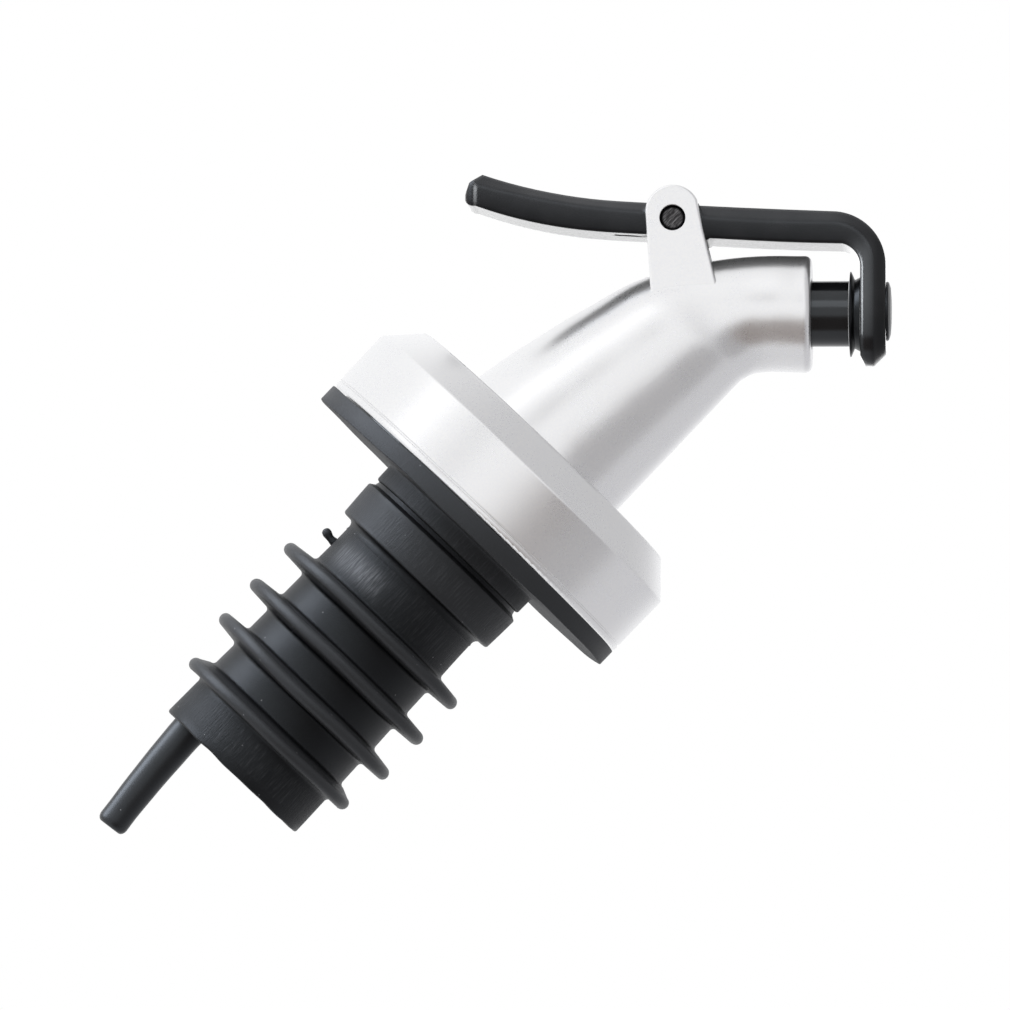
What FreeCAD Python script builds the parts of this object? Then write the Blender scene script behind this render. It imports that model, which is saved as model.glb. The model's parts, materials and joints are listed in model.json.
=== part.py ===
"""Liquor pour spout: a ribbed bottle stopper, a bent silver spout and a sprung thumb lever.

Millimetres. +Z runs up out of the bottle, +X points to the nozzle side, XZ is the plane of
symmetry. The origin is the centre of the seat, the underside of the black disc that rests on
the bottle's lip.
"""
import FreeCAD, Part
import math
import os

V = FreeCAD.Vector
UP = V(0, 0, 1)

# Stopper that goes into the bottle's neck
NECK_R = 9.9
BARREL_R = 7.1
BARREL_BORE_R = 6.2
BARREL_END_Z = -18.5
STOPPER_END_Z = -33.85
STOPPER_TOP_Z = -2.1
STOPPER_TOP_R = 8.62
STOPPER_END_R = 8.95
STOPPER_BORE_R = 8.1
RIBS = [(-28.1, 10.95, 0.3), (-23.15, 11.93, 0.0), (-18.3, 11.93, 0.0), (-13.25, 11.93, 0.0)]
RIB_TIP_HALF = 0.7
RIB_ROOT_HALF = 0.9
RIB_FILLET = 0.4
BEAD_R = 10.15

# Disc, core plate and collar
DISC_R = 19.6
DISC_T = 1.4
PLATE_R = 17.95
PLATE_TOP_Z = 3.95
WEB_Z = 2.4
COLLAR_BOTTOM_Z = 1.9
COLLAR_SHOULDER_Z = 8.85
COLLAR_TOP_Z = 12.1
COLLAR_R = 19.65
COLLAR_TOP_R = 16.55
COLLAR_HOLE_R = 10.0
COLLAR_BORE_R = 18.0
COLLAR_WALL = 1.6
SNAP_Z = 2.85
GASKET_T = 1.0
FOOT_R = 15.0
FOOT_T = 2.0

# Spout shell: a tapering tube that bends over into a straight nozzle
NOZZLE_DEG = 43.5
TILT_DEG = 90.0 - NOZZLE_DEG
WALL = 1.3
TUBE_FOOT_Z, TUBE_FOOT_R = 12.2, 9.83
TUBE_WAIST_Z, TUBE_WAIST_R = 20.0, 8.96
TUBE_THROAT_Z, TUBE_THROAT_R = 30.23, 7.45
TUBE_RIGHT_X = 9.95
BEND_PIVOT = V(13.95, 0, 30.23)
BEND_INNER_R = 4.0
BEND_MID_R = 6.25
NOZZLE_R = 5.92
NOZZLE_LENGTH = 4.78
MOUTH = V(10.59, 0, 40.72)
MOUTH_ROUND = 0.7
MOUTH_LIP = 1.0
MOUTH_GAP = 0.35

# Pivot and lever, laid out along the nozzle: u runs along it and w runs square to it, upward
PIVOT = V(-5.93, 0, 37.8)
AXIS_W = -9.3
MOUTH_U = 14.0
EAR_IN = 3.45
EAR_OUT = 5.4
PIN_R = 1.325
PIN_RECESS = 0.25
LEVER_HALF = 3.3
LEVER_BEVEL = 1.2
RUNNING_GAP = 0.05
HUB_R = 3.05
POCKET_R = 2.25
POCKET_HALF = 1.75
HOOK_IN_U = 19.0
HOOK_OUT_U = 21.55
HOOK_END_W = -14.66
TAIL_CORNER = 1.5

# Return spring
WIRE_R = 0.25
COIL_R = 1.75
COIL_PITCH = 0.56
COIL_TURNS = 4.77
LEG_TIP = (-5.55, -0.75)
LEG_STEP = 0.78

# Tubes and seal
FLOW_R = 3.35
FLOW_BORE_R = 2.6
FLOW_X = 2.5
FLOW_SEAT_Z = 2.9
FLOW_BEND_R = 9.0
FLOW_END_U = 17.8
BUSH_GAP = 0.1
VENT_R = 1.8
VENT_BORE_R = 1.0
VENT_SOCKET_X = -4.15
SOCKET_GAP = 0.03
VENT_PATH = [(-4.15, 1.2), (-4.15, -9.0), (-4.34, -18.5), (-5.35, -26.0), (-6.08, -32.5),
             (-6.05, -37.0), (-5.7, -42.0), (-5.2, -46.0)]
SEAL_FACE_U = 17.85
STEM_R = 1.5
BUTTON_W = -9.0

U_AXIS = V(math.cos(math.radians(NOZZLE_DEG)), 0, math.sin(math.radians(NOZZLE_DEG)))


def at_pivot(shape):
    """Place a shape drawn with x = u, y = w and z = towards -Y at the pivot."""
    stand = FreeCAD.Rotation(V(1, 0, 0), 90)
    lean = FreeCAD.Rotation(V(0, 1, 0), -NOZZLE_DEG)
    shape.Placement = FreeCAD.Placement(PIVOT, lean * stand)
    return shape


def on_nozzle(u):
    """Point on the nozzle's axis at a station u."""
    return MOUTH + U_AXIS * (u - MOUTH_U)


def outline(*pieces):
    """Closed face from a run of points and three-point arcs; an arc is (middle, end)."""
    edges = []
    here = pieces[0]
    for piece in pieces[1:]:
        if isinstance(piece, tuple):
            edges.append(Part.Arc(here, piece[0], piece[1]).toShape())
            here = piece[1]
        elif (piece - here).Length > 1e-6:
            edges.append(Part.makeLine(here, piece))
            here = piece
    if (here - pieces[0]).Length > 1e-6:
        edges.append(Part.makeLine(here, pieces[0]))
    return Part.Face(Part.Wire(edges))


def rz(r, z):
    return V(r, 0, z)


def turned(*pieces):
    """Solid of revolution about Z from an outline in (radius, height)."""
    return outline(*pieces).revolve(V(0, 0, 0), UP, 360)


def ring(inner, outer, z0, z1):
    return turned(rz(inner, z0), rz(outer, z0), rz(outer, z1), rz(inner, z1))


def rod(r, start, direction, length):
    return Part.makeCylinder(r, length, start, direction)


def clean(shape):
    """One tidy solid out of a fuse or cut."""
    merged = shape.removeSplitter()
    return merged.Solids[0] if len(merged.Solids) == 1 else merged


def fillet_where(shape, radius, keep):
    return shape.makeFillet(radius, [e for e in shape.Edges if keep(e)])


# ---------------------------------------------------------------- stopper

def rib(z, tip_r, droop):
    """One sealing rib: filleted root, tapering flanks and a full-round tip."""
    root = STOPPER_TOP_R - 0.4
    foot = RIB_ROOT_HALF + RIB_FILLET
    bend = RIB_ROOT_HALF + 0.3 * RIB_FILLET
    inner = STOPPER_TOP_R + 0.1
    tip = z - droop
    return turned(
        rz(root, z - foot), rz(inner, z - foot),
        (rz(inner + 0.3 * RIB_FILLET, z - bend), rz(inner + RIB_FILLET, z - RIB_ROOT_HALF)),
        rz(tip_r - RIB_TIP_HALF, tip - RIB_TIP_HALF),
        (rz(tip_r, tip), rz(tip_r - RIB_TIP_HALF, tip + RIB_TIP_HALF)),
        rz(inner + RIB_FILLET, z + RIB_ROOT_HALF),
        (rz(inner + 0.3 * RIB_FILLET, z + bend), rz(inner, z + foot)),
        rz(root, z + foot))


def stopper_sleeve():
    """Rubber sleeve with four ribs; it grips the core's barrel and goes on below it as a skirt."""
    grip_end = BARREL_END_Z
    body = turned(
        rz(BARREL_R, STOPPER_TOP_Z), rz(9.5, STOPPER_TOP_Z),
        (rz(9.95, -2.4), rz(BEAD_R, -3.2)), rz(9.95, -6.5),
        (rz(9.8, -6.85), rz(9.45, -6.95)), (rz(8.9, -7.15), rz(STOPPER_TOP_R, -7.8)),
        rz(STOPPER_END_R, STOPPER_END_Z + 0.35),
        (rz(STOPPER_END_R - 0.1, STOPPER_END_Z + 0.1), rz(STOPPER_END_R - 0.35, STOPPER_END_Z)),
        rz(STOPPER_BORE_R, STOPPER_END_Z), rz(STOPPER_BORE_R, grip_end - 3.0),
        rz(BARREL_R, grip_end))
    for z, tip_r, droop in RIBS:
        body = body.fuse(rib(z, tip_r, droop))
    gate_nub = rod(0.45, V(-8.3, 0, -9.7), V(-1, 0, 0), 1.5)
    return clean(body.fuse(fillet_where(gate_nub, 0.15, lambda e: e.BoundBox.XMax < -9.7)))


def vent_curve():
    curve = Part.BSplineCurve()
    curve.interpolate([V(x, 0, z) for x, z in VENT_PATH], InitialTangent=V(0, 0, -1),
                      FinalTangent=V(0.1, 0, -1))
    return Part.Wire(curve.toShape())


def swept(wire, r, start, direction):
    circle = Part.Wire(Part.makeCircle(r, start, direction))
    return wire.makePipeShell([circle], True, False)


def vent_tube():
    """Soft tube that lets air into the bottle; it leans over to the stopper's wall."""
    start = V(VENT_PATH[0][0], 0, VENT_PATH[0][1])
    outer = swept(vent_curve(), VENT_R, start, UP)
    bore = swept(vent_curve(), VENT_BORE_R, start, UP)
    tip_z = outer.BoundBox.ZMin
    outer = fillet_where(outer, 0.6, lambda e: e.BoundBox.ZMax < tip_z + 1.0)
    return clean(outer.cut(bore))


# ---------------------------------------------------------------- core, disc and gaskets

def core_body():
    """Black plastic core: barrel for the sleeve, snap plate, and sockets for the two tubes."""
    groove = 0.45
    body = turned(
        rz(BARREL_BORE_R, BARREL_END_Z), rz(BARREL_R, BARREL_END_Z), rz(BARREL_R, DISC_T),
        rz(PLATE_R, DISC_T), rz(PLATE_R, SNAP_Z - groove),
        (rz(PLATE_R - groove, SNAP_Z), rz(PLATE_R, SNAP_Z + groove)),
        rz(PLATE_R, PLATE_TOP_Z), rz(0, PLATE_TOP_Z), rz(0, WEB_Z),
        rz(BARREL_BORE_R, WEB_Z))
    socket_up = rod(FLOW_R + 1.1, V(FLOW_X, 0, WEB_Z), UP, 6.1)
    socket_down = rod(VENT_R + 0.75, V(VENT_SOCKET_X, 0, -8.0), UP, WEB_Z + 8.0)
    body = body.fuse([socket_up, socket_down])
    body = body.cut(rod(FLOW_R, V(FLOW_X, 0, FLOW_SEAT_Z), UP, 10))
    body = body.cut(rod(FLOW_BORE_R, V(FLOW_X, 0, 0), UP, 10))
    body = body.cut(rod(VENT_R + SOCKET_GAP, V(VENT_SOCKET_X, 0, -10), UP, 10 + VENT_PATH[0][1]))
    return clean(body.cut(rod(VENT_BORE_R, V(VENT_SOCKET_X, 0, 0), UP, 10)))


def lip_gasket():
    """Black disc with a short hub, the seat on the bottle's lip."""
    disc = turned(
        rz(BARREL_R, STOPPER_TOP_Z), rz(NECK_R - 0.35, STOPPER_TOP_Z),
        rz(NECK_R, STOPPER_TOP_Z + 0.35), rz(NECK_R, 0), rz(DISC_R - 0.3, 0),
        (rz(DISC_R - 0.09, 0.09), rz(DISC_R, 0.3)), rz(DISC_R, DISC_T - 0.3),
        (rz(DISC_R - 0.09, DISC_T - 0.09), rz(DISC_R - 0.3, DISC_T)), rz(BARREL_R, DISC_T))
    return clean(disc)


def base_gasket():
    """Flat ring that seals the shell's foot against the core's plate."""
    return ring(9.0, FOOT_R, PLATE_TOP_Z, PLATE_TOP_Z + GASKET_T)


def collar_ring():
    """Chamfered silver collar: snaps over the core's plate and clamps the shell's foot."""
    foot_top = PLATE_TOP_Z + GASKET_T + FOOT_T
    ceiling = COLLAR_TOP_Z - COLLAR_WALL
    snap = 0.4
    body = turned(
        rz(COLLAR_BORE_R, COLLAR_BOTTOM_Z), rz(COLLAR_R - 0.3, COLLAR_BOTTOM_Z),
        (rz(COLLAR_R - 0.14, COLLAR_BOTTOM_Z + 0.09), rz(COLLAR_R - 0.05, COLLAR_BOTTOM_Z + 0.3)),
        rz(COLLAR_R - 0.05, 2.5), rz(COLLAR_R - 0.17, 2.55), rz(COLLAR_R - 0.17, 2.7),
        rz(COLLAR_R - 0.05, 2.75), rz(COLLAR_R, COLLAR_SHOULDER_Z - 0.15),
        (rz(COLLAR_R - 0.05, COLLAR_SHOULDER_Z), rz(COLLAR_R - 0.15, COLLAR_SHOULDER_Z + 0.13)),
        rz(COLLAR_TOP_R + 0.2, COLLAR_TOP_Z - 0.2),
        (rz(COLLAR_TOP_R + 0.08, COLLAR_TOP_Z - 0.06), rz(COLLAR_TOP_R - 0.1, COLLAR_TOP_Z)),
        rz(COLLAR_HOLE_R + 0.15, COLLAR_TOP_Z), rz(COLLAR_HOLE_R, COLLAR_TOP_Z - 0.15),
        rz(COLLAR_HOLE_R, foot_top), rz(COLLAR_HOLE_R + 1.8, foot_top),
        rz(COLLAR_HOLE_R + 1.8, ceiling), rz(COLLAR_TOP_R - 0.7, ceiling),
        rz(COLLAR_BORE_R, COLLAR_SHOULDER_Z - 0.7), rz(COLLAR_BORE_R, SNAP_Z + snap),
        (rz(COLLAR_BORE_R - snap, SNAP_Z), rz(COLLAR_BORE_R, SNAP_Z - snap)))
    return clean(body)


# ---------------------------------------------------------------- spout shell

def section(centre, r, tilt):
    circle = Part.makeCircle(r)
    circle.Placement = FreeCAD.Placement(centre, FreeCAD.Rotation(V(0, 1, 0), tilt))
    return Part.Wire(circle)


def through_three(share, start, middle_share, middle, end):
    """Value at a share of the way along the parabola through a start, a middle and an end."""
    rise = end - start
    bow = (middle - start - rise * middle_share) / (middle_share * (middle_share - 1))
    return start + rise * share + bow * share * (share - 1)


def taper_radius(z):
    run = TUBE_THROAT_Z - TUBE_FOOT_Z
    waist = (TUBE_WAIST_Z - TUBE_FOOT_Z) / run
    return through_three((z - TUBE_FOOT_Z) / run, TUBE_FOOT_R, waist, TUBE_WAIST_R,
                         TUBE_THROAT_R)


def bend_radius(turn):
    return through_three(turn / TILT_DEG, TUBE_THROAT_R, 0.5, BEND_MID_R, NOZZLE_R)


def tube_body(inset, beyond):
    """Tapering bent tube, smaller by inset all round, from the foot to beyond the mouth."""
    sections = []
    for step in range(7):
        z = TUBE_FOOT_Z + (TUBE_THROAT_Z - TUBE_FOOT_Z) * step / 6
        r = taper_radius(z)
        sections.append(section(V(TUBE_RIGHT_X - r, 0, z), r - inset, 0))
    for step in range(1, 5):
        turn = TILT_DEG * step / 4
        r = bend_radius(turn)
        reach = BEND_INNER_R + r
        angle = math.radians(180 - turn)
        centre = BEND_PIVOT + V(reach * math.cos(angle), 0, reach * math.sin(angle))
        sections.append(section(centre, r - inset, turn))
    for share in (0.5, 1.0):
        along = (NOZZLE_LENGTH + beyond) * share
        sections.append(section(centre + U_AXIS * along, NOZZLE_R - inset, TILT_DEG))
    foot_z = PLATE_TOP_Z + GASKET_T
    root = rod(TUBE_FOOT_R - inset, V(TUBE_RIGHT_X - TUBE_FOOT_R, 0, foot_z), UP,
               TUBE_FOOT_Z - foot_z)
    return Part.makeLoft(sections, True, False, False, 3).fuse(root)


def ear(side):
    """One of the two lugs that carry the pin."""
    inner = EAR_IN if side > 0 else -EAR_OUT
    face = outline(
        V(-2.78, 0.38, inner), V(-2.51, -3.21, inner), V(-2.05, -10.0, inner),
        V(5.3, -10.0, inner), V(4.31, -6.1, inner), V(3.08, -1.18, inner),
        V(2.46, 1.9, inner), (V(-0.15, 3.4, inner), V(-2.78, 0.38, inner)))
    lug = face.extrude(V(0, 0, EAR_OUT - EAR_IN))
    outside = side * EAR_OUT
    return fillet_where(lug, 0.3, lambda e: abs(e.BoundBox.ZMin - outside) < 1e-3
                        and abs(e.BoundBox.ZMax - outside) < 1e-3 and e.BoundBox.YMin > -9.9)


def spout_shell():
    """Silver shell: foot flange, bent tube, nozzle, and two ears with a spring stop between."""
    tube = fillet_where(tube_body(0.0, 0.0), MOUTH_ROUND,
                        lambda e: (e.CenterOfMass - MOUTH).Length < 0.5)
    lugs = ear(1).fuse(ear(-1))
    lugs = lugs.cut(rod(PIN_R, V(0, 0, -EAR_OUT - 1), UP, 2 * EAR_OUT + 2))
    foot = rod(FOOT_R, V(0, 0, PLATE_TOP_Z + GASKET_T), UP, FOOT_T)
    spring_stop = Part.makeBox(1.0, 2.6, 2 * EAR_IN + 0.4, V(-1.45, -6.2, -EAR_IN - 0.2))
    body = tube.fuse([foot, at_pivot(lugs), at_pivot(spring_stop)])
    mouth = rod(FLOW_R + MOUTH_GAP, on_nozzle(MOUTH_U - 2), U_AXIS, 4)
    return clean(body.cut(tube_body(WALL, -MOUTH_LIP)).cut(mouth))


# ---------------------------------------------------------------- nozzle insides

def flow_tube():
    """Black tube that carries the liquor from the core, round the bend and out of the mouth."""
    lean = math.radians(TILT_DEG)
    corner_z = MOUTH.z - (MOUTH.x - FLOW_X) * math.tan(math.radians(NOZZLE_DEG))
    reach = FLOW_BEND_R * math.tan(lean / 2)
    corner = V(FLOW_X, 0, corner_z)
    start = V(FLOW_X, 0, FLOW_SEAT_Z)
    bend_in = corner - UP * reach
    bend_out = corner + U_AXIS * reach
    middle = bend_in + V(FLOW_BEND_R * (1 - math.cos(lean / 2)), 0, FLOW_BEND_R * math.sin(lean / 2))
    path = Part.Wire([Part.makeLine(start, bend_in),
                      Part.Arc(bend_in, middle, bend_out).toShape(),
                      Part.makeLine(bend_out, on_nozzle(FLOW_END_U))])
    return clean(swept(path, FLOW_R, start, UP).cut(swept(path, FLOW_BORE_R, start, UP)))


def mouth_bush():
    """Ring that centres the flow tube in the mouth; slots round its rim let the air in."""
    length = 3.0
    start = on_nozzle(MOUTH_U - MOUTH_LIP - BUSH_GAP - length)
    bush = rod(NOZZLE_R - WALL - BUSH_GAP, start, U_AXIS, length)
    bush = bush.cut(rod(FLOW_R, start, U_AXIS, length))
    for index in range(6):
        slot = Part.makeBox(1.2, 1.5, length + 2, V(FLOW_R + 0.6, -0.75, -1))
        slot.rotate(V(0, 0, 0), UP, 60 * index + 30)
        slot.Placement = FreeCAD.Placement(start, FreeCAD.Rotation(UP, U_AXIS)) * slot.Placement
        bush = bush.cut(slot)
    return clean(bush)


def plug_seal():
    """Rubber seal pulled through the lever's hook: thin lip inside, snap button outside."""
    lip = outline(
        V(SEAL_FACE_U, AXIS_W, 0), V(SEAL_FACE_U, AXIS_W + 4.0, 0),
        (V(17.92, AXIS_W + 4.36, 0), V(18.05, AXIS_W + 4.36, 0)),
        V(18.4, AXIS_W + 3.5, 0), V(18.85, AXIS_W + 3.8, 0), V(HOOK_IN_U, AXIS_W + 3.8, 0),
        V(HOOK_IN_U, AXIS_W + STEM_R, 0), V(HOOK_OUT_U, AXIS_W + STEM_R, 0),
        V(HOOK_OUT_U, AXIS_W, 0))
    button = outline(
        V(HOOK_OUT_U, BUTTON_W, 0), V(HOOK_OUT_U, BUTTON_W + 3.05, 0),
        V(21.8, BUTTON_W + 3.05, 0),
        (V(22.03, BUTTON_W + 2.4, 0), V(22.12, BUTTON_W + 1.0, 0)), V(22.12, BUTTON_W, 0))
    lip = lip.revolve(V(0, AXIS_W, 0), V(1, 0, 0), 360)
    button = button.revolve(V(0, BUTTON_W, 0), V(1, 0, 0), 360)
    return at_pivot(clean(lip.fuse(button)))


# ---------------------------------------------------------------- lever, pin and spring

def lever_side(z):
    """Side view of the lever: curved tail, straight arm, hook over the mouth."""
    top = Part.BSplineCurve()
    top.interpolate([V(-19.6, 4.9, z), V(-15.88, 3.78, z), V(-11.78, 2.88, z),
                     V(-7.68, 2.3, z), V(-3.07, 1.98, z), V(2.5, 1.65, z), V(16.0, 1.03, z)])
    under = Part.BSplineCurve()
    under.interpolate([V(17.2, -2.43, z), V(3.84, -1.84, z), V(-2.89, -1.41, z),
                       V(-7.48, -1.13, z), V(-11.56, -0.65, z), V(-15.65, 0.18, z),
                       V(-20.3, 1.6, z)])
    hook_in = V(HOOK_IN_U, -4.9, z)
    hook_out = V(HOOK_OUT_U, -4.3, z)
    end_in = V(HOOK_IN_U, HOOK_END_W - 0.5, z)
    end_out = V(HOOK_OUT_U, HOOK_END_W - 0.5, z)
    return Part.Face(Part.Wire([
        top.toShape(),
        Part.Arc(V(16.0, 1.03, z), V(19.85, -0.5, z), hook_out).toShape(),
        Part.makeLine(hook_out, end_out),
        Part.makeLine(end_out, end_in),
        Part.makeLine(end_in, hook_in),
        Part.Arc(hook_in, V(18.42, -3.2, z), V(17.2, -2.43, z)).toShape(),
        under.toShape(),
        Part.Arc(V(-20.3, 1.6, z), V(-21.15, 1.92, z), V(-21.37, 2.75, z)).toShape(),
        Part.makeLine(V(-21.37, 2.75, z), V(-20.9, 3.95, z)),
        Part.makeLine(V(-20.9, 3.95, z), V(-19.6, 4.9, z))]))


def on_outer_edge(edge):
    """True for the lever's outer edges: the top of the tail and arm, and round the hook."""
    box = edge.BoundBox
    middle = edge.CenterOfMass
    at_side = box.ZLength < 1e-3 and abs(abs(box.ZMin) - LEVER_HALF) < 1e-3
    on_top = at_side and middle.y > 0.9 and middle.x > -19 and box.XLength > 3
    on_bend = at_side and box.XMax > HOOK_OUT_U - 1e-3 and box.XMin > 15 and box.YMax > 1
    on_face = box.XLength < 1e-3 and abs(box.XMin - HOOK_OUT_U) < 1e-3 and middle.y < -4.5
    return on_top or on_bend or on_face


def bevelled_prism():
    """Lever bar before its hub: outer edges bevelled, hook end and tail corners rounded."""
    wide = 2 * LEVER_HALF
    bar = lever_side(-LEVER_HALF).extrude(V(0, 0, wide))
    bar = bar.makeChamfer(LEVER_BEVEL, [e for e in bar.Edges if on_outer_edge(e)])
    end_w = HOOK_END_W + LEVER_HALF
    bevel_u = HOOK_OUT_U - LEVER_BEVEL
    long = V(1, 0, 0)
    inner_end = rod(LEVER_HALF, V(HOOK_IN_U, end_w, 0), long, bevel_u - HOOK_IN_U)
    outer_end = Part.makeCone(LEVER_HALF, LEVER_HALF - LEVER_BEVEL - 1, LEVER_BEVEL + 1,
                              V(bevel_u, end_w, 0), long)
    corners = Part.makeBox(5, LEVER_HALF + 1, wide, V(18, HOOK_END_W - 1, -LEVER_HALF))
    toe = outline(V(HOOK_IN_U - 1, HOOK_END_W + 0.9, -5), V(HOOK_IN_U, HOOK_END_W + 0.9, -5),
                  V(HOOK_IN_U + 0.5, HOOK_END_W, -5), V(HOOK_IN_U + 0.5, HOOK_END_W - 1, -5),
                  V(HOOK_IN_U - 1, HOOK_END_W - 1, -5))
    bar = bar.cut(corners.cut(inner_end.fuse(outer_end))).cut(toe.extrude(V(0, 0, 10)))
    plan = Part.makeBox(45, 30, wide, V(-21.4, -20, -LEVER_HALF))
    plan = fillet_where(plan, TAIL_CORNER, lambda e: e.BoundBox.YLength > 29
                        and e.BoundBox.XMax < -21)
    return bar.common(plan)


def lever():
    """Glossy black thumb lever with its hub, spring pocket and hook."""
    wide = 2 * LEVER_HALF
    bar = bevelled_prism()
    whole_side = lever_side(-LEVER_HALF).extrude(V(0, 0, wide))
    hub_block = whole_side.common(Part.makeBox(4.9, 8, 10, V(-2.4, -4, -5)))
    hub = rod(HUB_R, V(0, 0, -LEVER_HALF), UP, wide)
    pad = Part.makeBox(5.2, 1.0, wide, V(-1.5, -2.0, -LEVER_HALF))
    pad = fillet_where(pad, 0.3, lambda e: e.BoundBox.ZLength > 1 and e.BoundBox.YMax < -1.9)
    body = bar.fuse([hub_block, hub, pad])
    body = body.cut(rod(PIN_R + RUNNING_GAP, V(0, 0, -5), UP, 10))
    body = body.cut(rod(POCKET_R, V(0, 0, -POCKET_HALF), UP, 2 * POCKET_HALF))
    body = body.cut(Part.makeBox(4.5, 4, 2 * POCKET_HALF, V(-POCKET_R, -4.45, -POCKET_HALF)))
    leg_z = COIL_PITCH * COIL_TURNS / 2
    body = body.cut(Part.makeBox(4.5, 4, 0.8, V(-6.1, -4.45, leg_z - 0.4)))
    body = body.cut(rod(STEM_R, V(HOOK_IN_U - 1, AXIS_W, 0), V(1, 0, 0), 4))
    return at_pivot(clean(body))


def pivot_pin():
    length = 2 * (EAR_OUT - PIN_RECESS)
    pin = rod(PIN_R, V(0, 0, -length / 2), UP, length)
    pin = pin.makeChamfer(0.3, [e for e in pin.Edges if e.BoundBox.ZLength < 1e-6])
    return at_pivot(pin)


def spring_path():
    """Points and directions along the wire: lever leg, coil, then shell leg."""
    tip = V(LEG_TIP[0], LEG_TIP[1], 0)
    leaves = math.atan2(tip.y, tip.x) + math.acos(COIL_R / tip.Length)
    half = COIL_PITCH * COIL_TURNS / 2
    steps = round(COIL_TURNS * 14)
    coil = []
    for step in range(steps + 1):
        share = step / steps
        angle = leaves + 2 * math.pi * COIL_TURNS * share
        point = V(COIL_R * math.cos(angle), COIL_R * math.sin(angle), half - 2 * half * share)
        coil.append((point, V(-math.sin(angle), math.cos(angle), 0)))
    first, last, down = coil[0][0], coil[-1][0], coil[-1][1]
    tip.z = half
    along = (first - tip).normalize()
    leg_step = (first - tip).Length / 7
    lever_leg = [(tip + along * (leg_step * step), along) for step in range(7)]
    shell_leg = [(last + down * (LEG_STEP * step), down) for step in range(1, 6)]
    return lever_leg + coil + shell_leg


def return_spring():
    """Torsion spring round the pin: one leg lifts the tail, the other bears on the shell."""
    sections = []
    for point, direction in spring_path():
        circle = Part.makeCircle(WIRE_R)
        circle.Placement = FreeCAD.Placement(
            point, FreeCAD.Rotation(UP, direction.cross(UP), direction, "ZXY"))
        sections.append(Part.Wire(circle))
    return at_pivot(Part.makeLoft(sections, True, False, False, 3))


def build():
    nodes = {
        "core_body": core_body, "stopper_sleeve": stopper_sleeve, "vent_tube": vent_tube,
        "lip_gasket": lip_gasket, "base_gasket": base_gasket, "collar_ring": collar_ring,
        "spout_shell": spout_shell, "flow_tube": flow_tube, "mouth_bush": mouth_bush,
        "lever": lever, "pivot_pin": pivot_pin, "return_spring": return_spring,
        "plug_seal": plug_seal}
    os.makedirs("parts", exist_ok=True)
    for name, make in nodes.items():
        shape = make()
        print(name, shape.isValid(), len(shape.Solids), round(shape.Volume, 2))
        shape.exportStep("parts/" + name + ".step")


build()
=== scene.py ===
"""Looks of the liquor pour spout: rubber, satin silver and gloss black, on a pale floor."""
import bpy
import json
import math
from mathutils import Matrix, Vector, noise

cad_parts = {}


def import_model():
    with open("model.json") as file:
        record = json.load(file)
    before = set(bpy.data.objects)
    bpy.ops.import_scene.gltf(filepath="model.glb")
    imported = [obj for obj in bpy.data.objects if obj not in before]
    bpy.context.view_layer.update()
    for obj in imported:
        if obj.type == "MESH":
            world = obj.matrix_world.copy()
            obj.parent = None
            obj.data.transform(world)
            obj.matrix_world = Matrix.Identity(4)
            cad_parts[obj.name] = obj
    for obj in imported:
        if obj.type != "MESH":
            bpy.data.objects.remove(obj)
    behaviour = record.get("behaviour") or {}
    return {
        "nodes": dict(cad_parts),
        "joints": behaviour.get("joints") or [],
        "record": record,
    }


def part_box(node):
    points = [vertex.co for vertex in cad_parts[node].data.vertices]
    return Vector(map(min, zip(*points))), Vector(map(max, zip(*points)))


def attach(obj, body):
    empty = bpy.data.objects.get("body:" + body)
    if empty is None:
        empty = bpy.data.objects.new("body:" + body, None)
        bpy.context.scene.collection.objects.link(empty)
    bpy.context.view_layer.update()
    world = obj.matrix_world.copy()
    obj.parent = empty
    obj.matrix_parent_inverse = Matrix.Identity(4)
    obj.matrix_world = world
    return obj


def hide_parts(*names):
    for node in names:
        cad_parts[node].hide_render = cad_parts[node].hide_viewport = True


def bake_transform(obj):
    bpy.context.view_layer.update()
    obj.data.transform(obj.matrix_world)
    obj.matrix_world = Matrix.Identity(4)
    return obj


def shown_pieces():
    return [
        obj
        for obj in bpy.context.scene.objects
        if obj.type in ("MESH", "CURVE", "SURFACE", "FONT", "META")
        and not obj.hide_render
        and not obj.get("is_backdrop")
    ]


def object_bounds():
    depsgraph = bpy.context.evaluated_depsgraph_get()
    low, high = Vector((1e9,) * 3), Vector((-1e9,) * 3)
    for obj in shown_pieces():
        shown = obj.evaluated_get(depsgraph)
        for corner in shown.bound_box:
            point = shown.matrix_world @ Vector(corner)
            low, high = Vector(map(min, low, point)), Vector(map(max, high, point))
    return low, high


MM = 0.001
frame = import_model()
cad_low, cad_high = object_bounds()
PIVOT = Vector(frame["joints"][0]["pos_m"])
STEM = Vector((0, 0, 1))

# Directions along the nozzle and square to it, up on the lever's side
NOZZLE_DEG = 43.5
U = Vector((math.cos(math.radians(NOZZLE_DEG)), 0, math.sin(math.radians(NOZZLE_DEG))))
W = Vector((-U.z, 0, U.x))


def view_axes(azimuth_deg, elevation_deg, roll_deg):
    """Right, up and back directions of a camera that looks at the object."""
    azimuth, elevation = math.radians(azimuth_deg), math.radians(elevation_deg)
    roll = math.radians(roll_deg)
    back = Vector((math.sin(azimuth) * math.cos(elevation),
                   -math.cos(azimuth) * math.cos(elevation), math.sin(elevation)))
    level = Vector((0, 0, 1)).cross(back).normalized()
    right = level * math.cos(roll) + back.cross(level) * math.sin(roll)
    return right, back.cross(right), back


# The photograph's viewing angle
VIEW_RIGHT, VIEW_UP, VIEW_BACK = view_axes(6.9, -1.68, 43.7)

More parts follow.
